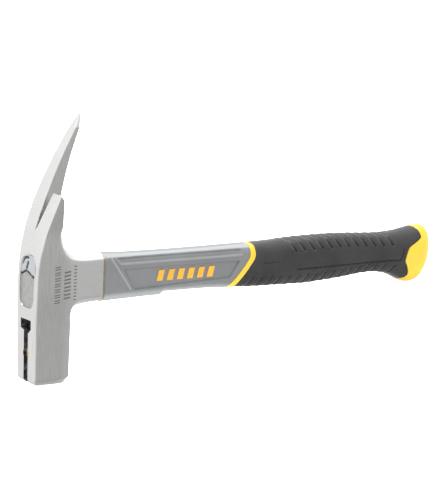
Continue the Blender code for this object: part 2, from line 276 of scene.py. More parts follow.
def steel_material():
    """Ground and polished forging: lines down the poll, lines along the neck."""
    mat, nodes, links, shader = new_material("ground_steel")
    down = noise(nodes, links, hammer_axes(nodes, links, (1, 1, 0.02)), 3200, 2, 0.6)
    flat = noise(nodes, links, hammer_axes(nodes, links, (0.02, 0.6, 1)), 3200, 2, 0.6)
    where = nodes.new("ShaderNodeSeparateXYZ")
    links.new(hammer_axes(nodes, links), where.inputs[0])
    behind = spread(nodes, links, where.outputs["X"], 0.006, 0.016)
    below = spread(nodes, links, where.outputs["Z"], 0.098, 0.088)
    both = nodes.new("ShaderNodeMath")
    both.operation = "MULTIPLY"
    links.new(behind, both.inputs[0])
    links.new(below, both.inputs[1])
    on_neck = both.outputs[0]
    lines = mix_value(nodes, links, on_neck, down, flat)
    cloud = noise(nodes, links, hammer_axes(nodes, links), 55, 4)
    tone = mix_colour(nodes, links, spread(nodes, links, cloud, 0.35, 0.65),
                      (0.64, 0.64, 0.63), (0.68, 0.68, 0.675))
    tone = mix_colour(nodes, links, spread(nodes, links, lines, 0.36, 0.64),
                      (0.585, 0.58, 0.57), tone)
    bright = mix_colour(nodes, links, spread(nodes, links, lines, 0.36, 0.64),
                        (0.72, 0.72, 0.715), (0.77, 0.77, 0.765))
    links.new(mix_colour(nodes, links, on_neck, tone, bright), shader.inputs["Base Color"])
    shader.inputs["Metallic"].default_value = 1.0
    rough = spread(nodes, links, lines, 0.35, 0.65, 0.21, 0.27)
    links.new(rough, shader.inputs["Roughness"])
    add_bump(nodes, links, shader, lines, 0.00003, 0.3)
    return mat


def scale_material():
    """Black forging scale left in the nail starter, rubbed grey on its high spots."""
    mat, nodes, links, shader = new_material("forging_scale")
    axes = hammer_axes(nodes, links)
    cloud = noise(nodes, links, axes, 420, 4, 0.6)
    links.new(mix_colour(nodes, links, spread(nodes, links, cloud, 0.42, 0.72),
                         (0.006, 0.006, 0.006), (0.11, 0.11, 0.11)),
              shader.inputs["Base Color"])
    links.new(spread(nodes, links, cloud, 0.3, 0.7, 0.7, 0.45), shader.inputs["Roughness"])
    shader.inputs["Specular IOR Level"].default_value = 0.25
    add_bump(nodes, links, shader, cloud, 0.0003, 0.5)
    return mat


def etched_material():
    """Dull dark steel of the etched lines."""
    mat, nodes, links, shader = new_material("etched_steel")
    grain = noise(nodes, links, hammer_axes(nodes, links), 1800, 2)
    links.new(mix_colour(nodes, links, grain, (0.055, 0.052, 0.05), (0.14, 0.135, 0.13)),
              shader.inputs["Base Color"])
    shader.inputs["Metallic"].default_value = 0.4
    shader.inputs["Roughness"].default_value = 0.6
    return mat


def moulded_material(name, dark, light, roughness, grain_scale, grain_depth, coat=0.0):
    """Moulded plastic: slight colour drift, fine spark texture, mould flow marks."""
    mat, nodes, links, shader = new_material(name)
    axes = hammer_axes(nodes, links)
    drift = noise(nodes, links, axes, 35, 4)
    links.new(mix_colour(nodes, links, spread(nodes, links, drift, 0.3, 0.7), dark, light),
              shader.inputs["Base Color"])
    grain = noise(nodes, links, axes, grain_scale, 3, 0.65)
    links.new(spread(nodes, links, grain, 0.3, 0.7, roughness - 0.06, roughness + 0.08),
              shader.inputs["Roughness"])
    shader.inputs["Coat Weight"].default_value = coat
    shader.inputs["Coat Roughness"].default_value = 0.25
    add_bump(nodes, links, shader, grain, grain_depth, 0.5)
    return mat


def jacket_material():
    """Grey plastic; its shade attribute paints highlights on the ribs and lands, and shade
    along the panels' edges.
    """
    mat, nodes, links, shader = new_material("grey_plastic")
    axes = hammer_axes(nodes, links)
    drift = spread(nodes, links, noise(nodes, links, axes, 40, 4), 0.3, 0.7)
    body = mix_colour(nodes, links, drift, (0.107, 0.110, 0.112), (0.124, 0.128, 0.131))
    shade = shade_attribute(nodes)
    # painted highlight: positive shade mixes towards light grey on the ribs and the top and
    # bottom lands
    tone = mix_colour(nodes, links, spread(nodes, links, shade, 0.0, 1.0), body,
                      (0.40, 0.42, 0.43))
    # painted shade: negative shade mixes towards near-black along the sunk panels' edges
    tone = mix_colour(nodes, links, spread(nodes, links, shade, 0.0, -1.0), tone,
                      (0.01, 0.01, 0.01))
    links.new(tone, shader.inputs["Base Color"])
    grain = noise(nodes, links, axes, 2400, 3, 0.65)
    links.new(spread(nodes, links, grain, 0.3, 0.7, 0.36, 0.5), shader.inputs["Roughness"])
    add_bump(nodes, links, shader, grain, 0.00005, 0.5)
    return mat


def rubber_material():
    """Soft black rubber, with painted shade in its grooves and seams and along its edge at the
    butt cap.
    """
    mat, nodes, links, shader = new_material("black_rubber")
    axes = hammer_axes(nodes, links)
    cloud = spread(nodes, links, noise(nodes, links, axes, 60, 5), 0.3, 0.7)
    body = mix_colour(nodes, links, cloud, (0.014, 0.014, 0.0145), (0.023, 0.023, 0.0235))
    # painted shade: the shade attribute mixes the rubber towards near-black
    links.new(mix_colour(nodes, links, shade_attribute(nodes), body, (0.003, 0.003, 0.003)),
              shader.inputs["Base Color"])
    grain = noise(nodes, links, axes, 1700, 3, 0.7)
    links.new(spread(nodes, links, grain, 0.3, 0.7, 0.46, 0.64), shader.inputs["Roughness"])
    shader.inputs["Specular IOR Level"].default_value = 0.38
    shader.inputs["Sheen Weight"].default_value = 0.5
    shader.inputs["Sheen Roughness"].default_value = 0.25
    add_bump(nodes, links, shader, grain, 0.00012, 0.5)
    return mat


def resin_material(name, dark, light, roughness):
    """Clouded set resin."""
    mat, nodes, links, shader = new_material(name)
    cloud = noise(nodes, links, hammer_axes(nodes, links), 260, 4)
    links.new(mix_colour(nodes, links, spread(nodes, links, cloud, 0.35, 0.65), dark, light),
              shader.inputs["Base Color"])
    shader.inputs["Roughness"].default_value = roughness
    add_bump(nodes, links, shader, cloud, 0.0002, 0.4)
    return mat


def bead_material():
    """Dark squeezed-out resin, amber where it is thick at the corners."""
    mat, nodes, links, shader = new_material("bead_resin")
    cloud = noise(nodes, links, hammer_axes(nodes, links), 400, 4)
    body = mix_colour(nodes, links, cloud, (0.07, 0.068, 0.04), (0.13, 0.125, 0.08))
    thick = mix_colour(nodes, links, cloud, (0.26, 0.15, 0.03), (0.50, 0.34, 0.10))
    links.new(mix_colour(nodes, links, shade_attribute(nodes), body, thick),
              shader.inputs["Base Color"])
    shader.inputs["Roughness"].default_value = 0.3
    add_bump(nodes, links, shader, cloud, 0.0002, 0.4)
    return mat


def potting_material():
    """Grey potting resin; its shade attribute marks the pale lobes, and paints shade into the
    cracks.
    """
    mat, nodes, links, shader = new_material("potting_resin")
    cloud = noise(nodes, links, hammer_axes(nodes, links), 300, 4)
    body = mix_colour(nodes, links, spread(nodes, links, cloud, 0.35, 0.65),
                      (0.160, 0.160, 0.158), (0.195, 0.195, 0.192))
    shade = shade_attribute(nodes)
    pale = mix_colour(nodes, links, spread(nodes, links, shade, 0.5, 1.0), body,
                      (0.245, 0.256, 0.268))
    # painted shade: low shade mixes towards near-black in the cracks; slightly darker towards
    # the rim
    tone = mix_colour(nodes, links, spread(nodes, links, shade, 0.0, 0.45),
                      (0.006, 0.006, 0.006), pale)
    links.new(tone, shader.inputs["Base Color"])
    shader.inputs["Roughness"].default_value = 0.3
    add_bump(nodes, links, shader, cloud, 0.0002, 0.3)
    return mat


# ------------------------------------------------------------------ the head

CURVE_START_Z, CURVE_GAIN, CURVE_POWER = 68.0, 0.00725, 1.8216
SLOT_Z, SLOT_Y = 100.4, -1.0
POINT_Z, SPIKE_TOP = 166.5, 175.6
NECK_END = 36.6
STRIP = -13.0                   # X of the strip beside the nail-starter groove
BACK = 12.9                     # X of the poll's back
RIDGE_SHARE = 0.58
GROOVE_Y, GROOVE_HALF, GROOVE_DEPTH = 0.2, 2.8, 3.6
MAGNET_Z, MAGNET_HOLE_R, MAGNET_R = 19.6, 3.6, 2.6
EYE_HALF, EYE_LOW, EYE_HIGH = 9.5, 50.0, 84.0

cheek_half = smooth_curve([(0, 12.4), (20, 12.5), (36, 12.75), (60, 13.6), (86, 13.7),
                           (SLOT_Z, 13.5)])
ridge_out = smooth_curve([(0, 0.16), (36, 0.16), (58, 0.42), (SLOT_Z, 0.36)])
draft_in = smooth_curve([(0, 0.55), (36, 0.5), (52, 0.2), (SLOT_Z, 0.2)])
poll_front = smooth_curve([(0, -12.5), (30, -13.0), (50, -13.5), (70, -13.5)])


def strip_x(z):
    z = np.asarray(z, float)
    return poll_front(z) + CURVE_GAIN * np.maximum(0, z - CURVE_START_Z) ** CURVE_POWER


def block_ring(z, back, near_back, middle_lift=0.0, corner_lift=0.0):
    """Ten points round the block: back middle, then on through +Y, front and -Y."""
    half, front = float(cheek_half(z)), float(strip_x(z))
    near_front = front + 2.2 * float(smoothstep(z, 76, SLOT_Z + 14)) / 0.76
    mid = front + RIDGE_SHARE * (back - front)
    ridge, rear = half + float(ridge_out(z)), half - float(draft_in(z))
    zm, zc = z + middle_lift, z + corner_lift
    return [((back + near_back) / 2, SLOT_Y if z > 90 else 0.0, zm), (back, 8.0, zm),
            (back, rear, zc), (mid, ridge, z), (front, half, z),
            (front, SLOT_Y, z), (near_front, -half, z),
            (mid, -ridge, z), (near_back, -rear, zc), (near_back, -8.0, zm)]


def neck_ring(x):
    """Sixteen points round the neck, from the top +Y corner over the top and down."""
    side = float(np.interp(x, [13, 20, NECK_END], [13.45, 13.1, 12.0]))
    low = float(np.interp(x, [17, 22, 28, NECK_END], [49.6, 50.7, 51.3, 51.8]))
    top, shoulder, hip = 84.7, 81.2, 55.4
    ring = [(side, shoulder), (8.0, top), (0.0, top), (-8.0, top), (-side, shoulder)]
    ring += [(-side, z) for z in (76.0, 67.5, 60.0)]
    ring += [(-side, hip), (-8.4, low), (0.0, low), (8.4, low), (side, hip)]
    ring += [(side, z) for z in (60.0, 67.5, 76.0)]
    return [(x, y, z) for y, z in ring]


spike_depth = smooth_curve([(SLOT_Z, 15.6), (124, 11.7), (136, 9.5), (151, 6.7),
                            (POINT_Z, 3.8), (SPIKE_TOP, 0.7)])
spike_outer = smooth_curve([(SLOT_Z, 13.5), (120, 12.3), (128, 11.5), (138, 10.2),
                            (145, 9.2), (156, 7.9), (162, 7.0), (POINT_Z, 6.3),
                            (171, 5.2), (SPIKE_TOP, 2.7)])
spike_inner = smooth_curve([(SLOT_Z, SLOT_Y), (124, -1.8), (138, -1.8), (POINT_Z, -1.5),
                            (171, -0.1), (SPIKE_TOP, 1.6)])


def spike_ring(z):
    """Eight points: back inner, middle and outer, outer side, then over the strip."""
    front = float(strip_x(z))
    depth, outer, inner = (float(c(z)) for c in (spike_depth, spike_outer, spike_inner))
    back, wide = front + depth, outer - inner
    ease = min(1.0, (z - SLOT_Z) / 24) * min(1.0, wide / 6)
    lean = 0.012 * depth
    return [(back, inner - lean, z), (back, inner + 0.6 * wide, z), (back, outer, z),
            (front + 0.6 * depth, outer, z), (front + 0.5 * ease, outer, z),
            (front, outer - 0.34 * wide, z), (front, inner + 0.9 * ease, z),
            (front + 1.0 * ease * min(1.0, depth / 4), inner, z)]


CLAW_EDGE = [(-1.2, -9.3, 0.0), (1.0, -16.8, 0.0), (2.3, -16.8, 1.2), (3.5, -16.8, 3.0),
             (4.0, -13.0, 3.4), (4.4, -9.3, 3.4)]
CLAW_TOP = 125.3


def claw_ring(base, s):
    """Short claw's section, s from 0 at the slot's bottom to 1 at its sloping end."""
    ring = []
    for (bx, by, bz), (tx, ty, drop) in zip(base, CLAW_EDGE):
        x, y = bx + (tx - bx) * s, by + (ty - by) * s
        top = CLAW_TOP + 0.18 * (ty + 12.9) - drop
        ring.append((x, y, bz + (top - bz) * s))
    return ring


def head_cage():
    """Coarse quad cage of the forging for a subdivision surface."""
    bm = bmesh.new()
    crease = bm.edges.layers.float.new("crease_edge")

    def ring_of(points):
        return [bm.verts.new(p) for p in points]

    def bridge(a, b, keep=lambda i: True):
        n = len(a)
        for i in range(n):
            if keep(i):
                bm.faces.new((a[i], a[(i + 1) % n], b[(i + 1) % n], b[i]))

    def harden(verts, value, closed=True):
        pairs = list(zip(verts, verts[1:] + (verts[:1] if closed else [])))
        for a, b in pairs[:len(verts) if closed else len(verts) - 1]:
            edge = bm.edges.get((a, b))
            if edge:
                edge[crease] = value

    inset = [(x * 0.84, y * 0.84, 0.0) for x, y, _ in block_ring(0, BACK, BACK)]
    rings = [ring_of(inset)]
    rows = [(2.2, BACK, BACK, 1.2, 2.2), (12, BACK, BACK), (32, BACK, BACK),
            (43, BACK, BACK)]
    rings += [ring_of(block_ring(*row)) for row in rows]
    neck_rows = [(50.5, 13.2, 13.2, -2.0, 0.6), (57, 13.4, 13.4), (67.5, 13.4, 13.4),
                 (78, 13.4, 13.4), (84.2, 13.0, 13.0, 0.6, -1.4)]
    first = len(rings)
    rings += [ring_of(block_ring(*row)) for row in neck_rows]
    last = len(rings) - 1
    upper = [(88.5, 8.4, 8.2), (94, 6.2, 5.6), (SLOT_Z, 5.6, 5.0)]
    rings += [ring_of(block_ring(*row)) for row in upper]

    bm.faces.new(list(reversed(rings[0])))
    for k, (a, b) in enumerate(zip(rings, rings[1:])):
        on_neck = first <= k < last
        bridge(a, b, (lambda i: i not in (0, 1, 8, 9)) if on_neck else lambda i: True)

    low, high = rings[first], rings[last]
    loop = [high[2], high[1], high[0], high[9], high[8]]
    loop += [rings[k][8] for k in range(last - 1, first, -1)]
    loop += [low[8], low[9], low[0], low[1], low[2]]
    loop += [rings[k][2] for k in range(first + 1, last)]
    for x in (19.5, 28, 34.8, NECK_END):
        new = ring_of(neck_ring(x))
        bridge(loop, new)
        for i in (0, 1, 3, 4, 8, 12):
            edge = bm.edges.get((loop[i], new[i]))
            edge[crease] = 0.35
        loop = new
    end = loop
    bm.faces.new(end)
    harden(end, 0.6)

    top = rings[-1]
    spike = [ring_of(spike_ring(z)) for z in
             (106, 114, 124, 136, 148, 158, 163.5, POINT_Z, 171, SPIKE_TOP)]
    first = spike[0]
    for i, j, k in ((0, 1, 0), (1, 2, 1), (2, 3, 2), (3, 4, 3), (4, 5, 5), (5, 0, 7)):
        bm.faces.new((top[i], top[j], first[(k + 1) % 8], first[k]))
    bm.faces.new((top[4], first[5], first[4]))
    bm.faces.new((top[5], first[7], first[6]))
    for a, b in zip(spike, spike[1:]):
        bridge(a, b)
    bm.faces.new(spike[-1])
    claw = [top[5:10] + top[:1]]
    base = [tuple(v.co) for v in claw[0]]
    for s in (0.35, 0.7, 0.93, 1.0):
        claw.append(ring_of(claw_ring(base, s)))
    for a, b in zip(claw, claw[1:]):
        bridge(a, b)
    bm.faces.new(claw[-1])

    harden(rings[0], 0.75)
    harden(rings[1], 0.45)
    for column in (4, 6):
        harden([r[column] for r in rings], 0.92, closed=False)
    for column in (3, 7):
        harden([r[column] for r in rings[1:5]], 0.38, closed=False)
        harden([r[column] for r in rings[5:-2]], 0.2, closed=False)
    for column in (2, 8):
        harden([r[column] for r in rings[1:5]], 0.55, closed=False)
        harden([r[column] for r in rings[4:6]], 0.4, closed=False)
    for column, value in ((0, 0.95), (2, 0.85), (4, 0.9), (5, 0.5), (6, 0.95), (7, 0.95)):
        harden([r[column] for r in spike], value, closed=False)
    for i, k in ((0, 0), (2, 2), (4, 4), (5, 6), (5, 7)):
        harden([top[i], first[k]], 0.95, closed=False)
    harden([r[1] for r in claw], 0.92, closed=False)
    harden([r[0] for r in claw], 0.92, closed=False)
    harden([r[5] for r in claw], 0.85, closed=False)
    harden([r[3] for r in claw], 0.6, closed=False)
    harden(claw[-1], 0.8)
    harden(spike[-1], 0.6)
    harden(spike[-3], 0.85)
    harden([top[5], top[0]], 1.0, closed=False)

    mesh = bpy.data.meshes.new("head")
    bmesh.ops.recalc_face_normals(bm, faces=bm.faces)
    bm.to_mesh(mesh)
    bm.free()
    return mesh


def make_head(material, dark):
    obj = bpy.data.objects.new("head_forging", head_cage())
    bpy.context.scene.collection.objects.link(obj)
    sub = obj.modifiers.new("sub", "SUBSURF")
    sub.levels = sub.render_levels = 4
    apply_modifiers(obj)
    obj.data.transform(PLACE)
    obj.data.materials.append(material)

    def tapered(x):
        return [float(np.interp(x, [-17, -11, -6, 2], v)) for v in
                ((EYE_HALF + 0.3, EYE_HALF - 0.1, 9.1, 8.6), (EYE_LOW - 0.6, 50.6, 52.6, 55.5),
                 (EYE_HIGH + 0.6, 83.4, 81.6, 79.0))]

    n = 96
    verts, stations = [], (-17, -11, -6, 2, 40)
    for x in stations:
        half, low, high = tapered(x)
        y, z = oval_points(half, low, high, 4.2, n)
        verts += [(x, a, b) for a, b in zip(y, z)]
    faces = grid_faces(len(stations), n)
    faces += [tuple(range(n)), tuple(reversed(range((len(stations) - 1) * n,
                                                    len(stations) * n)))]
    eye = add_mesh("eye_cut", verts, faces, None)

    left, right = GROOVE_Y + GROOVE_HALF, GROOVE_Y - GROOVE_HALF
    seat = prism("seat_cut", [(7.2, 42.3), (7.2, 35.8), (left, 34.9), (right, 33.4),
                              (-6.4, 36.4), (-6.4, 42.4)], 0, STRIP - 5, STRIP + 5.0, dark)
    steps = 14
    floor = [(STRIP + GROOVE_DEPTH - 1.6 + 1.6 * math.sin(math.pi * i / steps),
              GROOVE_Y + GROOVE_HALF * math.cos(math.pi * i / steps))
             for i in range(steps + 1)]
    groove = prism("groove_cut", [(STRIP - 5, left)] + floor + [(STRIP - 5, right)],
                   2, -4.0, 35.6, dark)
    round_hole = [(GROOVE_Y + MAGNET_HOLE_R * math.sin(2 * math.pi * i / 48),
                   MAGNET_Z + MAGNET_HOLE_R * math.cos(2 * math.pi * i / 48))
                  for i in range(48)]
    hole = prism("magnet_cut", round_hole, 0, STRIP - 5, STRIP + 8.0, dark)

    bpy.ops.mesh.primitive_uv_sphere_add(segments=64, ring_count=32, radius=1.0)
    dish = bpy.context.object
    dish.data.transform(PLACE @ Matrix.Translation((-23.0, -1.4, 77.0))
                        @ Matrix.Diagonal((12.6, 15.2, 17.5, 1.0)))
    cut(obj, [dish, eye, seat, groove, hole])

    mesh = obj.data
    mesh.shade_smooth()
    mesh.set_sharp_from_angle(angle=math.radians(28))
    return obj


def make_magnet(steel_dark, amber):
    """Magnet and its ring of glue in the floor of the nail-starter groove."""
    top = STRIP + GROOVE_DEPTH - 0.2
    n = 48
    profile = [(0.0, top), (MAGNET_R * 0.86, top), (MAGNET_R, top + 0.3),
               (MAGNET_R, top + 3.6)]
    glue = [(MAGNET_R + 0.05, top + 0.5), (MAGNET_R + 0.3, top + 0.1),
            (MAGNET_HOLE_R - 0.25, top - 0.35), (MAGNET_HOLE_R - 0.05, top - 0.7),
            (MAGNET_HOLE_R - 0.05, top + 3.4), (MAGNET_R + 0.05, top + 3.4)]

    def turned(name, points, material, closed):
        verts = []
        for r, x in points:
            r = max(r, 0.02)
            verts += [(x, GROOVE_Y + r * math.sin(2 * math.pi * i / n),
                       MAGNET_Z + r * math.cos(2 * math.pi * i / n)) for i in range(n)]
        faces = grid_faces(len(points), n, closed)
        if not closed:
            faces += [tuple(range(n)),
                      tuple(reversed(range((len(points) - 1) * n, len(points) * n)))]
        return add_mesh(name, verts, faces, material)
    return (turned("pin_magnet", profile, steel_dark, False),
            turned("magnet_glue", glue, amber, True))


def make_eye_resin(material):
    """Resin face in the eye: a plain lower field and two pale lobes split by cracks."""
    n, rings = 176, 60
    cracks = [((3.1, 73.9), (5.6, 73.2), 0.55), ((5.6, 73.2), (9.2, 71.4), 0.70),
              ((3.1, 73.9), (0.2, 73.3), 0.60), ((0.2, 73.3), (-2.8, 72.4), 0.80),
              ((-2.8, 72.4), (-5.4, 71.2), 0.72), ((-5.4, 71.2), (-7.2, 71.2), 0.85),
              ((-7.2, 71.2), (-9.2, 69.6), 0.75), ((1.6, 79.4), (2.8, 75.6), 1.15),
              ((2.8, 75.6), (3.1, 73.9), 0.65), ((7.9, 78.6), (6.6, 81.4), 0.75),
              ((6.6, 81.4), (4.2, 82.9), 0.80), ((4.2, 82.9), (1.2, 82.5), 0.70)]
    y0, z0 = oval_points(EYE_HALF + 0.35, EYE_LOW - 0.4, EYE_HIGH + 0.4, 4.2, n)
    centre_z = (EYE_LOW + EYE_HIGH) / 2
    verts, shades = [], []
    for k in range(rings + 1):
        s = max(1 - k / rings, 0.004)
        y, z = y0 * s, centre_z + (z0 - centre_z) * s
        rim = smoothstep(s, 0.86, 1.0)
        gap = np.full(n, 9.0)
        for a, b, width in cracks:
            gap = np.minimum(gap, line_distance(y, z, a, b)[0] / width)
        crack = 1 - smoothstep(gap, 0.7, 1.35)
        split = np.interp(y, [-9.5, -5.4, 0.2, 3.1, 9.5], [69.5, 71.2, 73.3, 73.9, 71.4])
        lobe = smoothstep(z, split - 0.3, split + 0.8)
        x = strip_x(z) + 1.0 - 0.35 * rim - 0.35 * lobe + 0.9 * crack
        verts += list(zip(x, y, z))
        # shade: pale lobes, painted shade in the cracks, and a little darker towards the rim
        shades += list((0.5 + 0.5 * lobe - 0.12 * rim * (1 - lobe)) * (1 - crack))
    faces = grid_faces(rings + 1, n) + [tuple(range(rings * n, (rings + 1) * n))]
    back = len(verts)
    verts += [(float(strip_x(b)) + 2.6, a, b) for a, b in zip(y0 * 0.96, z0)]
    shades += [0.5] * n
    faces += [(i, back + i, back + (i + 1) % n, (i + 1) % n) for i in range(n)]
    faces.append(tuple(range(back, back + n)))
    return add_mesh("eye_potting", verts, faces, material, 50.0, shades)


# ------------------------------------------------------------------ the handle

JACKET_START, STEP_X, STEP_UP = 38.0, 83.6, 2.1
BUTT_END = 310.6
BORE_HALF, BORE_LOW, BORE_HIGH = 8.3, 57.5, 77.6
BORE_TAPER = ([60, 290], [1.0, 0.9])        # X, and the bore's share of its width there
POCKET_END = 299.0                          # X of the end of the butt cap's blind bore

half_width = smooth_curve([(38, 12.1), (70, 11.7), (120, 11.6), (150, 12.2), (172, 13.6),
                           (205, 13.6), (250, 12.6), (270, 13.2), (290, 15.0),
                           (296.6, 15.0), (300, 14.6), (304.5, 12.4), (308, 8.9),
                           (309.8, 5.2), (BUTT_END, 1.6)])
bottom_line = smooth_curve([(38, 51.5), (83, 52.4), (120, 52.2), (139, 51.2), (148, 50.9),
                            (160, 50.2), (172, 50.0), (202, 49.5), (214, 50.1),
                            (231, 51.2), (249, 53.0), (260, 53.5), (272, 52.0),
                            (283, 47.8), (288, 45.4), (293, 44.4), (298, 45.1),
                            (303, 49.2), (306.5, 54.0), (309.8, 61.5), (BUTT_END, 67.0)])
top_line = smooth_curve([(38, 82.9), (52, 82.0), (64, 81.7), (90, 81.6), (125, 81.9),
                         (150, 82.5), (172, 83.1), (200, 84.5), (225, 84.8), (241, 84.3),
                         (257, 83.5), (267, 83.1), (280, 83.6), (294, 85.6), (300, 86.9),
                         (304.5, 87.0), (308, 85.0), (309.8, 81.8), (BUTT_END, 77.5)])
squareness = smooth_curve([(38, 4.6), (120, 4.0), (170, 2.6), (290, 2.4), (BUTT_END, 2.1)])

# X of the edges between the handle's pieces, by height
collar_front = smooth_curve([(52, 134.2), (56, 136.9), (60, 140.3), (66, 145.2),
                             (72, 149.9), (75, 151.8), (77, 152.4), (80, 153.0),
                             (82, 153.6), (84, 155.0)])
collar_back = smooth_curve([(52, 140.6), (56, 142.7), (58, 143.9), (64, 148.6),
                            (68, 151.7), (74, 155.8), (76, 156.5), (80, 157.0),
                            (82, 157.5), (84, 158.4)])
butt_line = smooth_curve([(47, 284.0), (49, 284.8), (51, 286.9), (53, 287.8), (55, 287.4),
                          (60, 285.3), (64, 283.5), (68, 284.4), (73, 286.6), (75, 289.6),
                          (77, 293.7), (79, 296.9), (80.5, 298.5), (84, 298.3), (88, 296.0)])


def handle_section(x, angle):
    """Y, Z and outward normal of the handle's skin at x and angle from the top."""
    low = bottom_line(x) + STEP_UP * smoothstep(x, STEP_X - 1.4, STEP_X + 1.4)
    high, half, n = top_line(x), half_width(x), squareness(x)
    mid, tall = (low + high) / 2, (high - low) / 2
    s, c = np.sin(angle), np.cos(angle)
    r = (np.abs(s) ** n + np.abs(c) ** n) ** (-1 / n)
    y, z = half * r * s, mid + tall * r * c
    ny = np.sign(s) * np.abs(r * s) ** (n - 1) / np.maximum(half, 0.1)
    nz = np.sign(c) * np.abs(r * c) ** (n - 1) / np.maximum(tall, 0.1)
    length = np.maximum(np.hypot(ny, nz), 1e-9)
    return y, z, ny / length, nz / length


def skin(start, end, fractions, count, relief, rim):
    """Grid of points between two shaped edges, with rounded rims and surface relief."""
    angle = np.arange(count) * 2 * math.pi / count
    s, a = np.meshgrid(fractions, angle, indexing="ij")
    x = start(68.0) + (end(68.0) - start(68.0)) * s
    for _ in range(60):
        z = handle_section(x, a)[1]
        x = 0.6 * x + 0.4 * (start(z) + (end(z) - start(z)) * s)
    y, z, ny, nz = handle_section(x, a)
    height, shade = (relief(x, y, z) if relief else (np.zeros_like(x), None))
    edge = np.minimum(x - start(z), end(z) - x)
    fall = rim * (1 - np.sqrt(1 - (1 - np.clip(edge / rim, 0, 1)) ** 2))
    height = height - fall
    points = np.stack([x, y + ny * height, z + nz * height], axis=-1)
    return points, (np.zeros_like(x) if shade is None else shade)


def rim_fractions(length, step, rim=0.6):
    """Even steps along the piece, with a few finer ones at each end for the rim."""
    fine = [0.0, 0.04, 0.15, 0.35, 0.65, 1.0]
    ends = [f * rim / length for f in fine]
    middle = np.linspace(rim / length, 1 - rim / length, max(3, int(length / step)))
    return np.array(ends[:-1] + list(middle) + [1 - f for f in reversed(ends[:-1])])


def sleeve(name, start, end, length, step, count, material, relief=None, rim=0.5,
           open_end=True):
    """Moulded piece round the shaft: outer skin, turned-in rims and a bore."""
    points, shade = skin(start, end, rim_fractions(length, step), count, relief, rim)
    plain = np.zeros((1, count))

    def bore_ring(edge):
        """The bore's section, following the edge it opens at."""
        y, z = oval_points(BORE_HALF, BORE_LOW, BORE_HIGH, 4.5, count)
        y = y * float(np.interp(edge[:, 0].mean(), *BORE_TAPER))
        return np.stack([edge[:, 0], y, z], axis=-1)[None]

    if open_end:
        grid = np.concatenate([points, bore_ring(points[-1]), bore_ring(points[0])])
        shades = [shade, plain, plain]
        faces = grid_faces(len(grid), count, closed=True)
    else:
        mouth = bore_ring(points[0])
        grid = np.concatenate([mouth, points])
        shades = [plain, shade]
        faces = grid_faces(len(grid), count)
        faces.append(tuple(range((len(grid) - 1) * count, len(grid) * count)))
        deep = mouth.copy()
        deep[..., 0] = POCKET_END
        base = len(grid) * count
        grid = np.concatenate([grid, deep])
        shades.append(plain)
        faces += [(i, (i + 1) % count, base + (i + 1) % count, base + i)
                  for i in range(count)]
        faces.append(tuple(range(base, base + count)))
    return add_mesh(name, grid.reshape(-1, 3), faces, material,
                    shades=np.concatenate(shades).ravel())


RIB_LONG = ((42.3, 81.2), (58.5, 58.2))
RIB_FRAME = ((45.3, 82.5), (49.7, 76.4), (103.8, 76.2), (145.8, 76.5))
PANEL = [(51.9, 73.1), (143.7, 72.9), (136.2, 61.4), (61.0, 58.4)]
UPPER = [(47.5, 80.7), (145.5, 80.9), (144.6, 77.0), (50.2, 77.0)]


def jacket_relief(x, y, z):
    """Raised ribs and sunk panels on both sides of the jacket; the shade it returns is painted
    highlight and painted shade.
    """
    side = smoothstep(np.abs(y), 6.0, 8.0)
    long_rib = 1 - smoothstep(line_distance(x, z, *RIB_LONG)[0], 0.35, 0.85)
    frame_rib = np.zeros_like(x)
    for a, b in zip(RIB_FRAME, RIB_FRAME[1:]):
        d = line_distance(x, z, a, b)[0]
        frame_rib = np.maximum(frame_rib, 1 - smoothstep(d, 0.25, 0.7))
    rib = np.maximum(long_rib, 0.7 * frame_rib)
    lower, upper = inside_depth(x, z, PANEL), inside_depth(x, z, UPPER)
    height = side * (0.45 * rib - 0.9 * smoothstep(lower, 0.0, 0.6)
                     - 0.8 * smoothstep(upper, 0.0, 0.6))
    # painted shade: dark lines under the upper panel's top edge and round the lower panel
    upper_lip_shade = (1 - smoothstep(np.abs(z - UPPER[0][1] + 0.5), 0.2, 0.9)) * (upper > -0.5)
    lower_lip_shade = (1 - smoothstep(np.abs(lower - 0.3), 0.2, 0.6)) * smoothstep(z, 60.0, 72.5)
    rise = z - bottom_line(x) - STEP_UP
    corner = 0.3 + 0.7 * smoothstep(np.abs(y), 1.5, 4.5)
    # painted highlight: the top land lighter as if lit from above, the bottom land lighter as
    # if lit by light off the floor
    land_highlight = corner * (0.45 * smoothstep(z, 80.4, 81.2)
                      + 0.3 * (1 - smoothstep(rise, 1.0, 4.5)))
    # painted highlight on the ribs and lands, painted shade on the lips
    shade = 0.25 * rib + land_highlight - 0.30 * upper_lip_shade - 0.22 * lower_lip_shade
    return height, np.where(land_highlight > 0, land_highlight, side * shade)


def bead_relief(x, y, z):
    """The bead is pale amber only at its upper and lower corners."""
    return np.zeros_like(x), smoothstep(np.abs(z - 67.3), 12.0, 14.5)


def cap_relief(x, y, z):
    """The cap starts a little below the rubber and rises to its own skin."""
    depth = 1 - smoothstep(x - butt_line(z), 0.2, 2.5)
    return -0.35 * depth, np.zeros_like(x)


GROOVES_TOP = [190.0 + 7.6 * k for k in range(12)]
GROOVES_LOW = [150.5 + 7.55 * k for k in range(17)]
SEAMS = [((190.3, 63.7), (279.4, 64.5)), ((279.4, 64.5), (282.4, 72.3))]
SHORT_SEAM = ((162.5, 69.7), (175.0, 70.2))


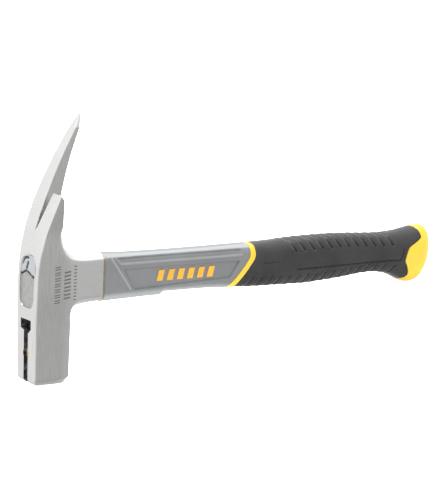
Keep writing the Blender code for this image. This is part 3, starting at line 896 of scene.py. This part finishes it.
def grip_relief(x, y, z):
    """Chevron grooves over the crown, slanted grooves below, and the side seams, with painted
    shade in them.
    """
    height = np.zeros_like(x)
    # dark: painted shade in the grooves and seams and along the edge at the butt cap
    dark = np.zeros_like(x)
    width = half_width(x)
    drop = top_line(x) - z
    for x0 in GROOVES_TOP:
        along = np.clip((drop - 0.4) / 7.8, 0, 1)
        line = x0 - 3.9 + 3.9 * along
        d = np.abs(x - line) * 0.88
        deep = (0.45 + 0.9 * along) * (1 - smoothstep(drop, 7.4, 8.8))
        groove = (1 - smoothstep(d, 0.2, 1.45)) * deep
        swell = (1 - smoothstep(np.abs(x - line + 2.9) * 0.8, 0.0, 2.2)) * deep * 0.4
        height += swell - groove
        dark = np.maximum(dark, (1 - smoothstep(d, 0.2, 1.0)) * deep)
    low = bottom_line(x) + STEP_UP
    rise = z - low
    for x0 in GROOVES_LOW:
        along = np.clip(rise / 8.6, 0, 1)
        line = x0 + 5.5 * along
        d = np.abs(x - line) * 0.84
        deep = (1 - smoothstep(rise, 7.4, 9.2)) * (0.45 + 0.55 * smoothstep(rise, 0, 2))
        groove = (1 - smoothstep(d, 0.2, 1.35)) * deep
        swell = (1 - smoothstep(np.abs(x - line + 3.0) * 0.84, 0.0, 2.2)) * deep
        height += 0.35 * swell - 1.05 * groove
        dark = np.maximum(dark, 0.9 * (1 - smoothstep(d, 0.1, 0.9)) * deep)
    side = smoothstep(np.abs(y) / width, 0.55, 0.8)
    seam = np.minimum(*(line_distance(x, z, a, b)[0] for a, b in SEAMS))
    short = line_distance(x, z, *SHORT_SEAM)[0]
    for d, strength in ((seam, 1.0), (short, 0.6)):
        height -= side * 0.6 * strength * (1 - smoothstep(d, 0.1, 0.8))
        dark = np.maximum(dark, side * strength * (1 - smoothstep(d, 0.15, 0.75)))
    palm = (smoothstep(x, 186, 196) * (1 - smoothstep(x, 272, 282))
            * smoothstep(z, 63.9, 66) * side)
    height -= 0.25 * palm
    # painted shade along the rubber's edge at the butt cap
    dark = np.maximum(dark, 0.9 * (1 - smoothstep(butt_line(z) - x, 0.3, 1.1)))
    return height, np.clip(dark, 0, 1)


def bars_on(target, name, bars, side, lift, material, thick=0.4):
    """Raised or etched bars laid on a surface: each bar is a four-cornered patch."""
    tree = BVHTree.FromObject(target, bpy.context.evaluated_depsgraph_get())
    turn = PLACE.to_3x3()
    towards = (turn @ Vector((0, -side, 0))).normalized()
    verts, faces = [], []
    for corners in bars:
        (x0, z0), (x1, z1), (x2, z2), (x3, z3) = corners
        nu = max(2, int(math.hypot(x1 - x0, z1 - z0) / 0.6) + 1)
        nv = max(2, int(math.hypot(x3 - x0, z3 - z0) / 0.6) + 1)
        base = len(verts)
        for layer in (0, 1):
            for j in range(nv):
                for i in range(nu):
                    u, v = i / (nu - 1), j / (nv - 1)
                    x = (x0 * (1 - u) + x1 * u) * (1 - v) + (x3 * (1 - u) + x2 * u) * v
                    z = (z0 * (1 - u) + z1 * u) * (1 - v) + (z3 * (1 - u) + z2 * u) * v
                    hit = tree.ray_cast(PLACE @ Vector((x, side * 40.0, z)), towards)[0]
                    y = (PLACE.inverted() @ hit).y if hit else side * 12.0
                    verts.append((x, y + side * (lift - thick * layer), z))
        m = nu * nv
        for j in range(nv - 1):
            for i in range(nu - 1):
                a = base + j * nu + i
                faces.append((a, a + 1, a + nu + 1, a + nu))
                faces.append((a + m, a + m + nu, a + m + nu + 1, a + m + 1))
        rim = ([base + i for i in range(nu)]
               + [base + j * nu + nu - 1 for j in range(1, nv)]
               + [base + (nv - 1) * nu + i for i in range(nu - 2, -1, -1)]
               + [base + j * nu for j in range(nv - 2, 0, -1)])
        for a, b in zip(rim, rim[1:] + rim[:1]):
            faces.append((a, a + m, b + m, b))
    return add_mesh(name, verts, faces, material)


# ------------------------------------------------------------------ assembly

steel = steel_material()
scale = scale_material()
etched = etched_material()
dark_magnet = moulded_material("sintered_magnet", (0.03, 0.03, 0.032), (0.06, 0.06, 0.062),
                               0.4, 1500, 0.00008)
amber = resin_material("amber_glue", (0.26, 0.15, 0.03), (0.48, 0.33, 0.10), 0.22)
bead_resin = bead_material()
potting = potting_material()
grey = jacket_material()
yellow = moulded_material("yellow_plastic", (0.54, 0.335, 0.009), (0.60, 0.370, 0.013),
                          0.34, 2200, 0.00004, coat=0.25)
marking = moulded_material("amber_marking", (0.46, 0.225, 0.005), (0.53, 0.270, 0.008),
                           0.4, 2200, 0.00004)
rubber = rubber_material()

head = make_head(steel, scale)
magnet, glue = make_magnet(dark_magnet, amber)
eye = make_eye_resin(potting)


def flat(value):
    return lambda z: np.full(np.shape(z), value) if np.ndim(z) else value


def moved(edge, amount):
    return lambda z: edge(z) + amount


bead = sleeve("resin_bead", flat(NECK_END - 0.2), flat(JACKET_START + 0.3), 1.6, 0.3, 160,
              bead_resin, bead_relief, rim=0.5)
jacket = sleeve("handle_jacket", flat(JACKET_START), collar_front, 114, 0.42, 280, grey,
                jacket_relief, rim=0.6)
collar = sleeve("collar_band", moved(collar_front, 0.1), collar_back, 4.5, 0.5, 200,
                yellow, rim=0.35)
grip = sleeve("rubber_grip", moved(collar_back, 0.1), moved(butt_line, -0.1), 135, 0.4, 280,
              rubber, grip_relief, rim=0.6)
cap = sleeve("butt_end", moved(butt_line, 0.1), flat(BUTT_END), 20, 0.35, 240, yellow,
             cap_relief, rim=0.3, open_end=False)

marks = []
for k in range(6):
    x = 78.0 + 7.9 * k
    marks.append([(x, 63.2), (x + 4.6, 63.2), (x + 6.4, 70.4), (x + 1.8, 70.4)])
bars_near = bars_on(jacket, "jacket_bars_near", marks, -1, 0.32, marking)
bars_far = bars_on(jacket, "jacket_bars_far", marks, 1, 0.32, marking)

ticks = []
for k in range(7):
    z = 53.8 + 3.65 * k
    for a, b in ((0.0, 0.8), (1.5, 2.3)):
        ticks.append([(-0.4, z + a), (3.6, z + a + 0.5), (3.6, z + b + 0.5), (-0.4, z + b)])
for k in range(4):
    z = 56.4 + 4.9 * k
    for a, b in ((0.0, 1.1), (2.3, 3.4)):
        ticks.append([(6.4, z + a), (11.4, z + a + 0.6), (11.4, z + b + 0.6), (6.4, z + b)])
for k in range(11):
    z = 55.4 + 2.2 * k
    ticks.append([(13.8, z), (15.9, z), (15.9, z + 0.8), (13.8, z + 0.8)])
etch = bars_on(head, "etched_ticks", ticks, -1, 0.03, etched, thick=0.1)

for piece, nodes in ((head, ["head"]), (magnet, ["nail_magnet"]), (glue, ["magnet_resin"]),
                     (eye, ["eye_resin"]), (bead, ["shoulder_bead"]), (jacket, ["jacket"]),
                     (collar, ["grip_collar"]), (grip, ["grip_sleeve"]),
                     (cap, ["butt_cap"])):
    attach(piece, BODY)
    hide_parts(*nodes)
for piece in (bars_near, bars_far, etch):
    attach(piece, BODY)

fibre, f_nodes, f_links, f_shader = new_material("fibreglass_rod")
strands = noise(f_nodes, f_links, hammer_axes(f_nodes, f_links, (0.04, 1, 1)), 900, 3)
f_links.new(mix_colour(f_nodes, f_links, strands, (0.40, 0.40, 0.27), (0.62, 0.61, 0.45)),
            f_shader.inputs["Base Color"])
f_shader.inputs["Roughness"].default_value = 0.5
shaft = frame["nodes"]["shaft"]
for slot_item in shaft.material_slots:
    slot_item.material = fibre


# ------------------------------------------------------------------ stage, light, camera

low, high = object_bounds()
centre = (low + high) / 2

bpy.ops.mesh.primitive_plane_add(size=12.0, location=(centre.x, centre.y, low.z))
floor = bpy.context.object
floor.name = "studio_floor"
floor_mat, _, _, floor_shader = new_material("floor_white")
floor_shader.inputs["Base Color"].default_value = (0.93, 0.93, 0.93, 1.0)
floor_shader.inputs["Roughness"].default_value = 0.9
floor_shader.inputs["Specular IOR Level"].default_value = 0.1
floor_shader.inputs["Emission Color"].default_value = (1.0, 1.0, 1.0, 1.0)
floor_shader.inputs["Emission Strength"].default_value = 0.9
floor.data.materials.append(floor_mat)
floor.visible_glossy = False


# Brightness of the pale room by the height of the direction, from straight down to up
ROOM = [(-1.0, 0.6), (0.0, 1.2), (1.0, 1.4)]
# One dark card for the polished steel to reflect: it is full inside CARD_FULL degrees of
# its direction, gone at CARD_EDGE, and leaves this share of the room's light
CARD_TOWARDS, CARD_FULL, CARD_EDGE, CARD_SHARE = (0.5, -0.8, -0.2), 20.0, 45.0, 0.55


def world_light():
    """White to the camera; to the hammer, a pale room with one dark card in it."""
    world = bpy.data.worlds.new("studio")
    bpy.context.scene.world = world
    world.use_nodes = True
    nodes, links = world.node_tree.nodes, world.node_tree.links
    nodes.clear()
    coords = nodes.new("ShaderNodeTexCoord")
    split = nodes.new("ShaderNodeSeparateXYZ")
    links.new(coords.outputs["Generated"], split.inputs[0])
    curve = nodes.new("ShaderNodeFloatCurve")
    points = curve.mapping.curves[0].points
    while len(points) < len(ROOM):
        points.new(0.5, 0.5)
    for point, (height, level) in zip(points, ROOM):
        point.location = ((height + 1) / 2, level / 2)
    curve.mapping.update()
    links.new(spread(nodes, links, split.outputs["Z"], -1.0, 1.0), curve.inputs["Value"])
    room = spread(nodes, links, curve.outputs["Value"], 0.0, 1.0, 0.0, 2.0)

    dot = nodes.new("ShaderNodeVectorMath")
    dot.operation = "DOT_PRODUCT"
    links.new(coords.outputs["Generated"], dot.inputs[0])
    dot.inputs[1].default_value = (PLACE.to_3x3() @ Vector(CARD_TOWARDS)).normalized()
    card = spread(nodes, links, dot.outputs["Value"], math.cos(math.radians(CARD_EDGE)),
                  math.cos(math.radians(CARD_FULL)), 1.0, CARD_SHARE)
    card.node.interpolation_type = "SMOOTHSTEP"
    level = nodes.new("ShaderNodeMath")
    level.operation = "MULTIPLY"
    links.new(room, level.inputs[0])
    links.new(card, level.inputs[1])

    seen = nodes.new("ShaderNodeBackground")
    seen.inputs["Color"].default_value = (1, 1, 1, 1)
    lit = nodes.new("ShaderNodeBackground")
    lit.inputs["Color"].default_value = (1, 1, 1, 1)
    links.new(level.outputs[0], lit.inputs["Strength"])
    path = nodes.new("ShaderNodeLightPath")
    pick = nodes.new("ShaderNodeMixShader")
    links.new(path.outputs["Is Camera Ray"], pick.inputs[0])
    links.new(lit.outputs[0], pick.inputs[1])
    links.new(seen.outputs[0], pick.inputs[2])
    out = nodes.new("ShaderNodeOutputWorld")
    links.new(pick.outputs[0], out.inputs["Surface"])


def soft_light(name, place, size, power):
    data = bpy.data.lights.new(name, "AREA")
    data.shape, data.size, data.energy = "DISK", size, power
    lamp = bpy.data.objects.new(name, data)
    bpy.context.scene.collection.objects.link(lamp)
    lamp.location = place
    lamp.rotation_mode = "QUATERNION"
    lamp.rotation_quaternion = (centre - Vector(place)).to_track_quat("-Z", "Y")


world_light()
soft_light("top_soft", (0.15, 0.25, 1.5), 1.0, 36.0)

CAMERA_AT = Vector((-711.0, -1286.5, 354.1))
LOOK_AT = Vector((95.5, -62.5, 91.9))
ROLL = math.radians(2.40)
LENS = 165.6


def make_camera():
    data = bpy.data.cameras.new("view")
    data.lens, data.sensor_width = LENS, 36.0
    data.clip_start, data.clip_end = 0.05, 50.0
    camera = bpy.data.objects.new("view", data)
    bpy.context.scene.collection.objects.link(camera)
    back = (CAMERA_AT - LOOK_AT).normalized()
    right = Vector((0, 0, 1)).cross(back).normalized()
    up = back.cross(right)
    c, s = math.cos(ROLL), math.sin(ROLL)
    right, up = right * c + up * s, up * c - right * s
    axes = Matrix((right, up, back)).transposed()
    lean = Matrix.Rotation(LEAN, 3, "Y")
    camera.rotation_mode = "QUATERNION"
    camera.rotation_quaternion = (lean @ axes).to_quaternion()
    camera.location = PLACE @ CAMERA_AT
    bpy.context.scene.camera = camera


make_camera()
bpy.context.scene.view_settings.view_transform = "Standard"
